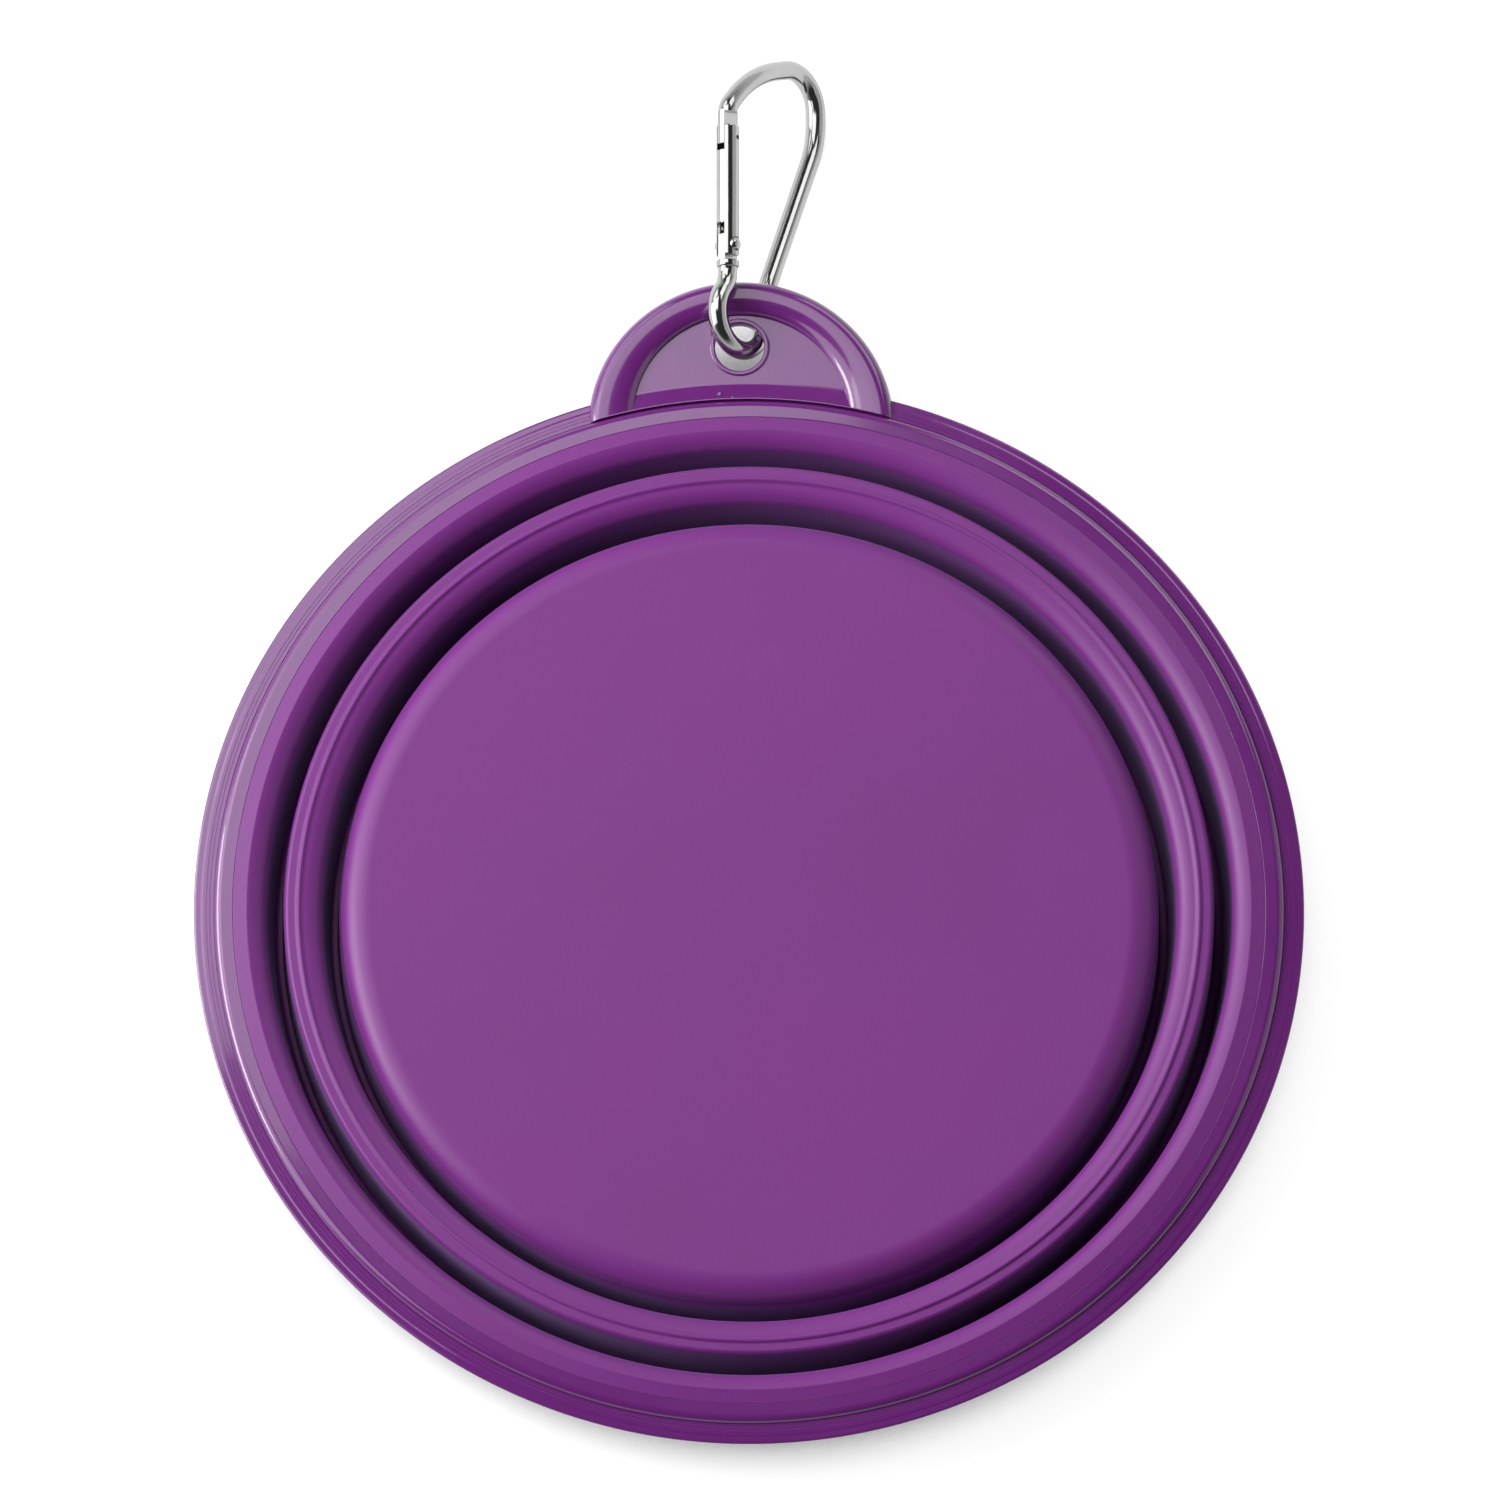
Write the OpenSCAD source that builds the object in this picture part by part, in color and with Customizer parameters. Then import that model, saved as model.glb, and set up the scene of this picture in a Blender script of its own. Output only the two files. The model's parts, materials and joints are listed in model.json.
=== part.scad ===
/* [Rim frame] */
// Diameter of the rim over its rounded lip
rim_d = 180; // [150:1:220]
// Height of the folded bowl above the ground
folded_h = 16; // [15:0.5:18]
// Drop from the top of the silicone to the top of the flange
flange_drop = 1.5; // [1.2:0.1:2]
// Width of the sloping lip outside the flange
lip_w = 1.6; // [1.2:0.1:2.5]
// Thickness of the rounded lip
lip_t = 1.4; // [1.2:0.1:1.8]
// Width of the flat flange
flange_w = 1.6; // [1.2:0.1:3]
// Width of the shelf that carries the silicone and the clamp ring
shelf_w = 3.5; // [3:0.1:4]
// Depth of the shelf below the flange
shelf_drop = 2.1; // [1.8:0.1:2.4]
// Thickness of the shelf
shelf_t = 1.4; // [1:0.1:1.8]
// Depth of the skirt below the flange
skirt_h = 5; // [4.5:0.1:7]
// Thickness of the two walls of the skirt
skirt_t = 1.3; // [1:0.1:1.4]
// Number of stiffening ribs between the walls of the skirt
rib_count = 24; // [12:1:36]
// Thickness of a rib
rib_t = 1.2; // [0.8:0.1:2]

/* [Carrying tab] */
// Outer radius of the raised arch
arch_r = 24.9; // [24:0.1:28]
// Distance from the rim's outer edge in to the centre of the arch
arch_inset = 7.6; // [6:0.1:9]
// Height of the arch above the flange
arch_rise = 0.8; // [0.5:0.1:0.8]
// Width of the rounded outer flank of the arch
arch_flank_w = 2; // [1.6:0.1:2.2]
// Width of the flat crest of the arch
arch_crest_w = 0.8; // [0.6:0.1:1.2]
// Width of the slope inside the arch
arch_slope_w = 3; // [2.5:0.1:3.5]
// Depth of the tab below the crest of the arch
arch_t = 3.4; // [3:0.1:3.5]
// Radius of the recessed plate
plate_r = 17.45; // [16.5:0.05:18]
// Depth of the plate below the flange
plate_drop = 0.8; // [0.6:0.1:0.9]
// Thickness of the plate
plate_t = 1.5; // [1.3:0.1:1.6]
// Width of the slope between the clamp ring and the plate
throat_w = 3.4; // [2.5:0.1:4]
// Diameter of the hole for the clip
hole_d = 8; // [8:0.1:9]
// Chamfer around both ends of the hole
hole_edge = 0.3; // [0.2:0.05:0.4]
// Distance from the rim's outer edge out to the centre of the hole
hole_out = 6.1; // [5.9:0.1:6.3]
// Width of the raised ring around the hole
boss_w = 0.9; // [0.6:0.1:1.2]
// Height of the raised ring around the hole
boss_h = 0.25; // [0.1:0.05:0.3]

/* [Clamp ring] */
// Width of the clamp ring
clamp_w = 3; // [2.8:0.1:3.2]
// Height of the clamp ring above the flange
clamp_rise = 1; // [0.7:0.1:1.2]
// Depth over which its top rounds down to its outer edge
clamp_round = 1.2; // [0.9:0.1:1.3]
// Thickness of the leg that stands on the shelf
clamp_leg_t = 1.4; // [1.2:0.1:1.5]

/* [Silicone bowl] */
// Thickness of the silicone edge under the clamp ring
edge_t = 1.5; // [1.2:0.1:1.6]
// Width of the silicone band from the clamp ring in to its crest
band_w = 2.3; // [2:0.1:2.5]
// Height of the crest above the outer edge of the band
band_rise = 1; // [0.8:0.1:1.2]
// Width of the crest's rounded inner side
crest_round = 3; // [2.7:0.1:3.1]
// Thickness of the thick walls at their foot
wall_t = 2; // [1.8:0.1:2.2]
// Run of the upper wall inwards from its rounding to its foot
upper_run = 1.3; // [1:0.1:1.4]
// Thickness of the thin folding webs
web_t = 1.3; // [1:0.1:1.4]
// Height of the feet of both thick walls, where the webs start
foot_h = 2; // [1.6:0.1:2.4]
// Distance from the crest of the band in to the outside of the middle ring
groove_run = 5.9; // [5.8:0.1:6.5]
// Width of the middle ring's rounded top from its outside in to its crest
ring_round = 2.1; // [1.8:0.1:2.3]
// Height of the middle ring's rounded top
ring_cap_h = 1; // [0.8:0.1:1.2]
// Width of the middle ring's rounded inner side
ring_in_w = 4; // [3.7:0.1:4.1]
// Run of the middle wall inwards from that rounding to its foot
middle_run = 1.3; // [1:0.1:1.5]
// Distance from the outside of the middle ring in to the edge of the floor
floor_inset = 8.9; // [8.8:0.1:9.4]
// Thickness of the floor
floor_t = 2.2; // [1.8:0.1:2.4]
// Width of the rounding around the floor's edge
floor_round_w = 3.2; // [2.4:0.1:4]
// Distance from the floor's edge in to the ring foot under it
floor_foot_inset = 2.5; // [1.5:0.5:15]
// Width of that ring foot
floor_foot_w = 4; // [2:0.1:6]
// Height of that ring foot
floor_foot_h = 0.8; // [0.5:0.1:1]

/* [Clip body] */
// Diameter of the clip's rod
rod_d = 3.2; // [3:0.05:3.3]
// Radius of the sway between hinge and lower hook
sway_r = 5.7; // [5.4:0.1:6]
// Turn of the sway in degrees
sway_turn = 39; // [38:1:40]
// Radius of the lower hook
hook_r = 5.6; // [5.4:0.1:5.8]
// Turn of the lower hook in degrees
hook_turn = 207; // [206:1:208]
// Length of the straight above the lower hook
low_back_len = 6.9; // [6:0.1:8]
// Radius of the slight bend in the back
back_r = 10.6; // [9:0.1:12]
// Turn of the slight bend in degrees
back_turn = 13; // [12:1:14]
// Radius of the shoulder of the back
shoulder_r = 17.1; // [16:0.1:18]
// Turn of the shoulder in degrees
shoulder_turn = 32; // [31:1:33]
// Radius of the crown
crown_r = 6; // [5.5:0.1:6.5]
// Turn of the crown in degrees
crown_turn = 98; // [97:1:99]
// Radius of the brow between crown and nose
brow_r = 22.5; // [21:0.5:24]
// Turn of the brow in degrees
brow_turn = 37; // [36:1:38]
// Radius of the bend into the nose
nose_r = 2.4; // [2.2:0.1:2.8]
// Diameter of the enlarged neck below the hinge
neck_d = 3.8; // [3.4:0.1:4]

/* [Clip gate] */
// Diameter of the gate
gate_d = 3.8; // [3.7:0.05:4]
// Length of the gate
gate_len = 22; // [21.5:0.1:22.2]
// Gap between the gate's top and the nose
nose_gap = 2.3; // [2:0.1:2.6]
// Distance from the gate's foot up to the hinge rivet
rivet_up = 2; // [1.9:0.05:2.2]
// Diameter of the hinge rivet
rivet_d = 1.2; // [1:0.05:1.3]
// Diameter of the rivet's domed heads
rivet_head_d = 2.3; // [2:0.1:2.5]
// Height that the domed heads stand above the gate
rivet_head_h = 0.45; // [0.3:0.05:0.6]
// Width of the hinge slot and of the latch slot
slot_w = 1.6; // [1.5:0.05:1.8]
// Length of the hinge slot
hinge_slot_len = 5.6; // [5.4:0.1:6.2]
// Distance from the rivet up to the flat end of the tang
tang_up = 1.65; // [1.5:0.05:1.8]
// Length of the latch slot
latch_slot_len = 4.3; // [4:0.1:4.6]
// Diameter of the latch pin
latch_d = 0.8; // [0.6:0.05:0.9]
// Distance from the gate's top down to the latch pin
latch_down = 2.1; // [1.8:0.1:2.3]
// Thickness of the lip at the end of the nose hook
lip_hook_t = 0.6; // [0.5:0.05:0.8]
// Reach of the nose hook's shank into the gate
shank_w = 1.4; // [1.2:0.05:1.5]
// Diameter of the bore for the spring
spring_bore_d = 2.2; // [2.1:0.05:2.4]
// Outer diameter of the spring
spring_d = 1.9; // [1.8:0.05:2]
// Diameter of the spring's wire
spring_wire_d = 0.35; // [0.3:0.01:0.4]
// Rise of the spring in one turn
spring_pitch = 0.9; // [0.85:0.01:1]
// Number of turns of the spring
spring_turns = 6; // [4:1:8]
// Diameter of the plunger's head
plunger_head_d = 1.4; // [1.2:0.05:1.5]
// Length of the plunger's head
plunger_head_len = 2.4; // [2.2:0.05:2.8]
// Diameter of the plunger's stem inside the spring
plunger_stem_d = 0.9; // [0.7:0.05:1]
// Length of the plunger's stem
plunger_stem_len = 2.5; // [1:0.1:3]

/* [Clip position] */
// Turn of the clip about its gate in degrees
clip_turn = 50; // [49:1:51]
// Lift of the clip's far end in degrees
clip_lift = 3.5; // [3.3:0.1:4]
// Heading of the clip from straight out, in degrees
clip_heading = -0.93; // [-2:0.01:1]
// Distance from the hole's centre sideways to the gate's line
clip_side = 2; // [1.9:0.05:2.1]
// Distance from the hole's centre back to the clip's lower end
clip_back = 2.3; // [2.3:0.05:2.7]
// Gap between the plate and the line of the gate
clip_gap = 0.75; // [0.6:0.05:0.9]

/* [Clearances] */
// Gap between the rim frame and the pieces that are pressed into it
fit_gap = 0.1; // [0.05:0.05:0.2]
// Gap between silicone parts that move past each other
fold_gap = 0.2; // [0.1:0.05:0.3]
// Radial running clearance of pins in their bores
run_gap = 0.05; // [0.03:0.01:0.1]
// Gap on each side of the tang and of the nose hook in their slots
side_gap = 0.1; // [0.05:0.05:0.15]

/* [Hidden] */

plastic_colour = "mediumpurple";
silicone_colour = "purple";
metal_colour = "silver";
steel_colour = "dimgray";

// Amount by which a cut runs past the faces that it opens
overrun = shelf_t;
// Facets of the large rings, of the clip and of its small parts, and steps of a rounding in an outline
ring_facets = 180;
rod_facets = 40;
round_steps = 6;

// Heights of the rim, from the ground up
flange_z = folded_h - flange_drop;
shelf_z = flange_z - shelf_drop;
skirt_z = flange_z - skirt_h;
lip_z = flange_z - lip_t / 2;
clamp_z = flange_z + clamp_rise;
plate_z = flange_z - plate_drop;
arch_z = flange_z + arch_rise;
band_z = folded_h - band_rise;
edge_z = shelf_z + edge_t;

// Radii of the rim, from the outer edge in
rim_r = rim_d / 2;
flange_r = rim_r - lip_w;
rabbet_r = flange_r - flange_w;
shelf_r = rabbet_r - shelf_w;
clamp_r = rabbet_r - fit_gap;
clamp_in_r = clamp_r - clamp_w;

// Share of the folded height over which both crests round down on the inside
crest_depth_share = 0.16;
crest_h = folded_h * crest_depth_share;

// Radii of the silicone, from the clamp ring in
band_r = clamp_in_r - fit_gap;
edge_r = clamp_r - clamp_leg_t - fit_gap;
crest_r = band_r - band_w;
upper_top_r = crest_r - crest_round;
upper_foot_r = upper_top_r - upper_run;
ring_r = crest_r - groove_run;
ring_crest_r = ring_r - ring_round;
ring_in_r = ring_crest_r - ring_in_w;
middle_foot_r = ring_in_r - middle_run;
floor_r = ring_r - floor_inset;

// Radii of the web's base rings, clear of the cap that comes down inside them
upper_base_r = ring_r + fold_gap;
lower_base_r = floor_r + fold_gap;
web_top_z = folded_h - ring_cap_h;
floor_z = folded_h - floor_t;

// Strokes of the two folds: each web turns over about its own foot
upper_stroke = 2 * (web_top_z - foot_h);
lower_stroke = 2 * (floor_z - foot_h);

// Places on the tab
arch_y = rim_r - arch_inset;
hole_y = rim_r + hole_out;
arch_crest_out_r = arch_r - arch_flank_w;
arch_crest_in_r = arch_crest_out_r - arch_crest_w;
// Centre of the plate, set so that the slope is arch_slope_w wide at the tab's tip
plate_y = arch_y + arch_crest_in_r - arch_slope_w - plate_r;
arch_low_z = arch_z - arch_t;

// Share of the rod's radius that each length of rod stops short of the next
rod_trim_share = 0.0125;
// Share of the rod's radius that a collar is long
collar_len_share = 0.2;

// Places along the clip, measured from its lower end along the gate
rod_r = rod_d / 2;
// Neighbouring lengths of rod stop this far short of their meeting place, inside a collar that is as much thicker
rod_trim = rod_r * rod_trim_share;
collar_len = rod_r * collar_len_share;
gate_r = gate_d / 2;
neck_r = neck_d / 2;
// Height of the clip's neck above its lower end as a share of the sway's radius
hook_reach_share = 2.526;
hook_reach = sway_r * hook_reach_share;
// Length of the neck as a share of its radius
neck_len_share = 1.158;
neck_len = neck_r * neck_len_share;
// Shares of the neck's length taken by its taper and by the gap under the gate
neck_taper_share = 0.5;
neck_gap_share = 0.05;
gate_foot = hook_reach + neck_len;
rivet_v = gate_foot + rivet_up;
hinge_slot_end = gate_foot + hinge_slot_len;
tang_end = rivet_v + tang_up;
gate_end = gate_foot + gate_len;
nose_v = gate_end + nose_gap;
latch_v = gate_end - latch_down;
latch_slot_end = gate_end - latch_slot_len;

tang_t = slot_w - 2 * side_gap;
latch_r = latch_d / 2;
latch_u_share = 0.75;
latch_u = latch_r * latch_u_share;
spring_start = tang_end + side_gap / 2 + plunger_head_len;
spring_end = spring_start + spring_turns * spring_pitch + spring_wire_d;
// Share of the gate's radius at which the rivet's heads are seated, and that the gate's end chamfers take
rivet_seat_share = 0.8;
gate_edge_share = 0.12;

// Bends of the clip in order, from the hinge round to the nose: [radius, turn] or [length, 0]
nose_turn = 360 + sway_turn - hook_turn + back_turn - shoulder_turn - crown_turn - brow_turn;
low_bends = [[sway_r, -sway_turn], [hook_r, hook_turn], [low_back_len, 0], [back_r, -back_turn]];
top_bends = [[shoulder_r, shoulder_turn], [crown_r, crown_turn]];
nose_bends = [[brow_r, brow_turn], [nose_r, nose_turn]];
open_bends = concat(low_bends, top_bends, nose_bends);
clip_start = [0, hook_reach];
clip_start_heading = 270;

function heading_at(bends, i) = i == 0 ? clip_start_heading : heading_at(bends, i - 1) + bends[i - 1][1];
function bend_step(bend, h) =
    bend[1] == 0
        ? bend[0] * [cos(h), sin(h)]
        : sign(bend[1]) * bend[0] * [sin(h + bend[1]) - sin(h), cos(h) - cos(h + bend[1])];
function place_at(bends, i) =
    i == 0 ? clip_start : place_at(bends, i - 1) + bend_step(bends[i - 1], heading_at(bends, i - 1));

open_gap = [0, nose_v] - place_at(open_bends, len(open_bends));
back_heading = heading_at(open_bends, len(low_bends));
brow_heading = heading_at(open_bends, len(low_bends) + len(top_bends));
back_len = (open_gap[0] * sin(brow_heading) - open_gap[1] * cos(brow_heading)) / sin(brow_heading - back_heading);
brow_len = (open_gap[1] * cos(back_heading) - open_gap[0] * sin(back_heading)) / sin(brow_heading - back_heading);
bends = concat(low_bends, [[back_len, 0]], top_bends, [[brow_len, 0]], nose_bends);

// Points on a quarter of an ellipse or another part of one
function rounding(centre, half_w, half_h, from, to) = [
    for (i = [0 : round_steps])
        let (a = from + (to - from) * i / round_steps)
        centre + [half_w * cos(a), half_h * sin(a)]
];

module ring(points) {
    rotate_extrude($fn = ring_facets)
        polygon(points);
}

// Rim frame

module rim_section() {
    wall_r = shelf_r + skirt_t;
    outer_r = flange_r - skirt_t;
    ring(concat(
        [[shelf_r, skirt_z], [wall_r, skirt_z], [wall_r, shelf_z - shelf_t]],
        [[outer_r, shelf_z - shelf_t], [outer_r, skirt_z], [flange_r, skirt_z], [flange_r, flange_z - lip_t]],
        rounding([rim_r - lip_t / 2, lip_z], lip_t / 2, lip_t / 2, -90, 80),
        [[flange_r, flange_z], [rabbet_r, flange_z], [rabbet_r, shelf_z], [shelf_r, shelf_z]]
    ));
}

module skirt_ribs() {
    rib_in = shelf_r + skirt_t / 2;
    rib_out = flange_r - skirt_t / 2;
    rib_h = shelf_z - shelf_t / 2 - skirt_z - lip_t / 2;
    for (i = [0 : rib_count - 1])
        rotate([0, 0, (i + 0.5) * 360 / rib_count])
            translate([rib_in, -rib_t / 2, skirt_z + lip_t / 2])
                cube([rib_out - rib_in, rib_t, rib_h]);
}

module tab_blank() {
    difference() {
        translate([0, arch_y, 0])
            ring(concat(
                [[0, arch_low_z], [arch_r, arch_low_z]],
                rounding([arch_crest_out_r, arch_z - arch_flank_w], arch_flank_w, arch_flank_w, 0, 90),
                [[0, arch_z]]
            ));
        cylinder(h = folded_h, r = rabbet_r, $fn = ring_facets);
    }
}

// Hollow above the plate: its far side is the slope of the arch, its near side the slope of the throat
module tab_recess() {
    rim_hold = [
        [0, plate_z - overrun], [0, arch_z + 2 * overrun], [rabbet_r, arch_z + 2 * overrun],
        [rabbet_r, flange_z], [rabbet_r + throat_w, plate_z], [rabbet_r + throat_w, plate_z - overrun]
    ];
    difference() {
        translate([0, plate_y, 0])
            ring(concat(
                [[0, plate_z], [plate_r, plate_z]],
                rounding(
                    [plate_r + arch_slope_w, plate_z], arch_slope_w, arch_z - plate_z, 180, 90
                ),
                [[plate_r + arch_slope_w, arch_z + overrun], [0, arch_z + overrun]]
            ));
        ring(rim_hold);
    }
}

module rim_frame() {
    color(plastic_colour)
    difference() {
        union() {
            difference() {
                union() {
                    rim_section();
                    tab_blank();
                }
                tab_recess();
                // Hollow under the plate
                translate([0, plate_y, arch_low_z - overrun])
                    difference() {
                        cylinder(h = plate_z - plate_t - arch_low_z + overrun, r = plate_r, $fn = ring_facets);
                        translate([0, -plate_y, -overrun])
                            cylinder(h = folded_h, r = flange_r, $fn = ring_facets);
                    }
            }
            skirt_ribs();
            translate([0, hole_y, plate_z - plate_t])
                cylinder(h = plate_t + boss_h, r = hole_d / 2 + boss_w, $fn = ring_facets);
        }
        clip_hole();
    }
}

// Round hole with a chamfer at both ends
module clip_hole() {
    low_z = plate_z - plate_t;
    high_z = plate_z + boss_h;
    radius = hole_d / 2;
    translate([0, hole_y, 0])
        rotate_extrude($fn = ring_facets)
            polygon([
                [0, low_z - overrun], [radius + hole_edge, low_z - overrun], [radius + hole_edge, low_z],
                [radius, low_z + hole_edge], [radius, high_z - hole_edge], [radius + hole_edge, high_z],
                [radius + hole_edge, high_z + overrun], [0, high_z + overrun]
            ]);
}

module clamp_ring() {
    crest_in = clamp_rise / 2;
    leg_r = clamp_r - clamp_leg_t;
    color(plastic_colour)
    ring(concat(
        [[clamp_in_r, edge_z], [leg_r, edge_z], [leg_r, shelf_z], [clamp_r, shelf_z]],
        rounding([clamp_in_r + crest_in, clamp_z - clamp_round], clamp_w - crest_in, clamp_round, 0, 90),
        [[clamp_in_r, clamp_z - crest_in]]
    ));
}

// Silicone bowl

module upper_wall() {
    foot_out_r = upper_foot_r + wall_t;
    color(silicone_colour)
    ring(concat(
        [[upper_base_r, 0], [foot_out_r, 0], [foot_out_r, foot_h]],
        [[upper_top_r + wall_t, folded_h - 2 * crest_h]],
        [[shelf_r - fit_gap, shelf_z - fit_gap], [shelf_r - fit_gap, shelf_z], [edge_r, shelf_z]],
        [[edge_r, edge_z], [band_r, edge_z]],
        rounding([crest_r, band_z], band_w, band_rise, 0, 90),
        rounding([crest_r, folded_h - crest_h], crest_round, crest_h, 95, 180),
        [[upper_foot_r, foot_h], [upper_base_r, foot_h]]
    ));
}

// Thin web that turns over about its foot when a ring is pushed out
module fold_web(outer_r, base_r, top_z) {
    inner_r = outer_r - web_t;
    ring([
        [inner_r, fold_gap], [base_r, fold_gap], [base_r, foot_h], [outer_r, foot_h],
        [outer_r, top_z], [inner_r, top_z]
    ]);
}

module upper_fold() {
    color(silicone_colour)
    fold_web(ring_r, upper_base_r, web_top_z);
}

module middle_wall() {
    foot_out_r = middle_foot_r + wall_t;
    web_in_r = ring_r - web_t;
    color(silicone_colour)
    ring(concat(
        [[lower_base_r, 0], [foot_out_r, 0], [foot_out_r, foot_h]],
        [[ring_in_r + wall_t, folded_h - 2 * crest_h]],
        [[web_in_r - fold_gap, web_top_z - fold_gap], [web_in_r - fold_gap, web_top_z]],
        rounding([ring_crest_r, web_top_z], ring_round, ring_cap_h, 0, 90),
        rounding([ring_crest_r, folded_h - crest_h], ring_crest_r - ring_in_r, crest_h, 95, 180),
        [[middle_foot_r, foot_h], [lower_base_r, foot_h]]
    ));
}

module lower_fold() {
    color(silicone_colour)
    fold_web(floor_r, lower_base_r, floor_z);
}

module floor_pan() {
    foot_out_r = floor_r - floor_foot_inset;
    foot_in_r = foot_out_r - floor_foot_w;
    color(silicone_colour)
    ring(concat(
        [[0, floor_z], [foot_in_r, floor_z], [foot_in_r, floor_z - floor_foot_h]],
        [[foot_out_r, floor_z - floor_foot_h], [foot_out_r, floor_z]],
        rounding([floor_r - floor_round_w, floor_z], floor_round_w, floor_t, 0, 90),
        [[0, folded_h]]
    ));
}

// Clip: modelled flat, with the gate along Y and the back towards X, then laid in the tab's hole

module place_clip() {
    translate([-clip_side, hole_y - clip_back, plate_z + gate_r + clip_gap])
        rotate([0, 0, clip_heading])
            rotate([clip_lift, 0, 0])
                rotate([0, clip_turn, 0])
                    children();
}

module rod_straight(length) {
    translate([rod_trim, 0, 0])
        rotate([0, 90, 0])
            cylinder(h = length - 2 * rod_trim, r = rod_r, $fn = rod_facets);
}

module rod_bend(radius, turn, trim_end) {
    side = sign(turn);
    trim = rod_trim / radius * 180 / PI;
    sweep = abs(turn) - trim - (trim_end ? trim : 0);
    translate([0, side * radius, 0])
        rotate([0, 0, side > 0 ? trim - 90 : 90 - trim - sweep])
            rotate_extrude(angle = sweep, $fn = ring_facets)
                translate([radius, 0])
                    circle(r = rod_r, $fn = rod_facets);
}

// Rod of the clip, bend after bend, with a short collar over each place where two lengths meet
module clip_rod() {
    last = len(bends) - 1;
    for (i = [0 : last]) {
        at = place_at(bends, i);
        translate([at[0], at[1], 0]) {
            rotate([0, 0, heading_at(bends, i)]) {
                rotate([0, 90, 0])
                    cylinder(h = collar_len, r = rod_r + rod_trim, center = true, $fn = rod_facets);
                if (bends[i][1] == 0)
                    rod_straight(bends[i][0]);
                else
                    rod_bend(bends[i][0], bends[i][1], i < last);
            }
        }
    }
}

// Runs a round bar of the given length up the gate's line
module up_gate(from, length, radius) {
    translate([0, from, 0])
        rotate([-90, 0, 0])
            cylinder(h = length, r = radius, $fn = rod_facets);
}

module across_gate(at, length, radius) {
    translate([at[0], at[1], -length / 2])
        cylinder(h = length, r = radius, $fn = rod_facets);
}

module clip_neck() {
    taper = neck_len * neck_taper_share;
    collar = neck_len * (1 - neck_taper_share - neck_gap_share);
    translate([0, hook_reach, 0])
        rotate([-90, 0, 0])
            rotate_extrude($fn = rod_facets)
                polygon([[0, rod_trim], [rod_r, rod_trim], [neck_r, taper], [neck_r, taper + collar], [0, taper + collar]]);
}

module clip_tang() {
    base = hook_reach + neck_len / 2;
    translate([-rod_r, base, -tang_t / 2])
        cube([rod_d, tang_end - base, tang_t]);
}

// Hook on the nose: a shank on the outer side of the gate, with a lip that turns in under the latch pin
module nose_hook() {
    lip_top = latch_v - latch_r - side_gap;
    lip_low = lip_top - lip_hook_t;
    intersection() {
        up_gate(lip_low, nose_v - lip_low + gate_r, gate_r);
        translate([0, 0, -tang_t / 2])
            linear_extrude(height = tang_t)
                polygon([
                    [-gate_r, lip_low], [latch_u, lip_low], [latch_u, lip_top],
                    [-gate_r + shank_w, lip_top], [-gate_r + shank_w, nose_v + side_gap],
                    [-gate_r, nose_v + side_gap]
                ]);
    }
}

module carabiner_body() {
    color(metal_colour)
    place_clip()
    difference() {
        union() {
            clip_rod();
            clip_neck();
            clip_tang();
            nose_hook();
        }
        across_gate([0, rivet_v], gate_d, rivet_d / 2);
    }
}

module hinge_rivet() {
    seat = gate_r * rivet_seat_share;
    head_top = gate_r + rivet_head_h;
    color(metal_colour)
    place_clip()
    translate([0, rivet_v, 0])
        rotate_extrude($fn = rod_facets)
            polygon(concat(
                [[0, -head_top]],
                rounding([0, -seat], rivet_head_d / 2, head_top - seat, -85, 0),
                [[rivet_d / 2, -seat], [rivet_d / 2, seat]],
                rounding([0, seat], rivet_head_d / 2, head_top - seat, 0, 85),
                [[0, head_top]]
            ));
}

module carabiner_gate() {
    seat = gate_r * rivet_seat_share;
    edge = gate_r * gate_edge_share;
    color(metal_colour)
    place_clip()
    difference() {
        translate([0, gate_foot, 0])
            rotate([-90, 0, 0])
                rotate_extrude($fn = rod_facets)
                    polygon([
                        [0, 0], [gate_r - edge, 0], [gate_r, edge], [gate_r, gate_len - edge],
                        [gate_r - edge, gate_len], [0, gate_len]
                    ]);
        // Round inner corner at the foot, so that the gate turns clear of the neck
        difference() {
            translate([0, gate_foot - overrun, -gate_r - overrun])
                cube([gate_d, rivet_up + overrun, gate_d + 2 * overrun]);
            across_gate([0, rivet_v], 2 * gate_d, rivet_up);
        }
        // Hinge slot, bore for the spring and hole for the rivet
        translate([-gate_d, gate_foot - overrun, -slot_w / 2])
            cube([2 * gate_d, hinge_slot_len + overrun, slot_w]);
        up_gate(hinge_slot_end - slot_w, spring_end + side_gap - hinge_slot_end + slot_w, spring_bore_d / 2);
        across_gate([0, rivet_v], 2 * gate_d, rivet_d / 2 + run_gap);
        // Seats under the rivet's two heads
        for (side = [-1, 1])
            translate([0, rivet_v, side * (seat - side_gap / 2 + gate_r / 2)])
                cylinder(h = gate_r, r = rivet_head_d / 2 + run_gap, center = true, $fn = rod_facets);
        // Latch slot, open at the gate's top and at its outer side
        translate([-gate_d, latch_slot_end, -slot_w / 2])
            cube([gate_d + latch_u + latch_d, latch_slot_len + overrun, slot_w]);
        across_gate([latch_u, latch_v], 2 * gate_d, latch_r);
    }
}

module latch_pin() {
    color(steel_colour)
    place_clip()
    across_gate([latch_u, latch_v], gate_d - latch_d, latch_r);
}

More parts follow.
